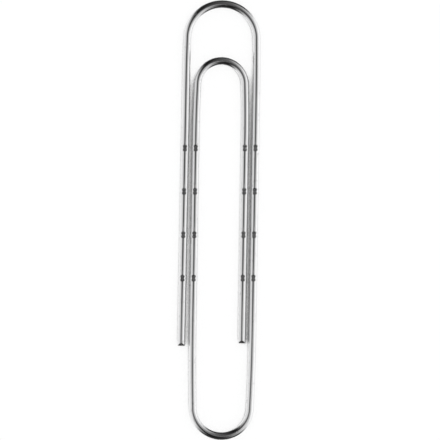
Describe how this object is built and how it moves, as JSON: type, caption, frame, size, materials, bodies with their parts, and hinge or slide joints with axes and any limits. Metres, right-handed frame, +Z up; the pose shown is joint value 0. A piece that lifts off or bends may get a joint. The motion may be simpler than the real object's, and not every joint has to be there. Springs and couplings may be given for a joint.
{
  "type": "paper clip",
  "caption": "Large paper clip of bright round steel wire: a long outer loop, a sprung inner tongue and pressed grip crimps across the legs, to hold a stack of sheets.",
  "frame": {"origin": "centre of the shut clip's box, on the surface that it lies on", "axes": "+Y along the clip towards the outer bend, +X across it towards the long leg, +Z up off the surface"},
  "size_m": [0.0139, 0.077, 0.0014],
  "materials": {
    "bright_wire": "bright drawn and plated steel wire"
  },
  "bodies": {
    "long_leg": {"outer_bend_right": "bright_wire", "long_leg": "bright_wire", "base_bend_right": "bright_wire"},
    "outer_free_leg": {"outer_bend_left": "bright_wire", "outer_free_leg": "bright_wire"},
    "tongue": {"base_bend_left": "bright_wire", "tongue_return_leg": "bright_wire", "tongue_bend_left": "bright_wire"},
    "tongue_free_leg": {"tongue_bend_right": "bright_wire", "tongue_free_leg": "bright_wire"}
  },
  "joints": [
    {"name": "tongue_lift", "type": "hinge", "parent": "long_leg", "child": "tongue", "pos_m": [0.00093, -0.0378, 0.0007], "axis": [1, 0, 0], "range_deg": [-12, 12], "stiffness_Nm_per_rad": 0.64},
    {"name": "outer_leg_lift", "type": "hinge", "parent": "long_leg", "child": "outer_free_leg", "pos_m": [0, 0.0378, 0.0007], "axis": [-1, 0, 0], "range_deg": [-8, 8], "stiffness_Nm_per_rad": 0.95},
    {"name": "tongue_leg_lift", "type": "hinge", "parent": "tongue", "child": "tongue_free_leg", "pos_m": [0, 0.02785, 0.0007], "axis": [-1, 0, 0], "range_deg": [-6, 6], "stiffness_Nm_per_rad": 1.23}
  ]
}
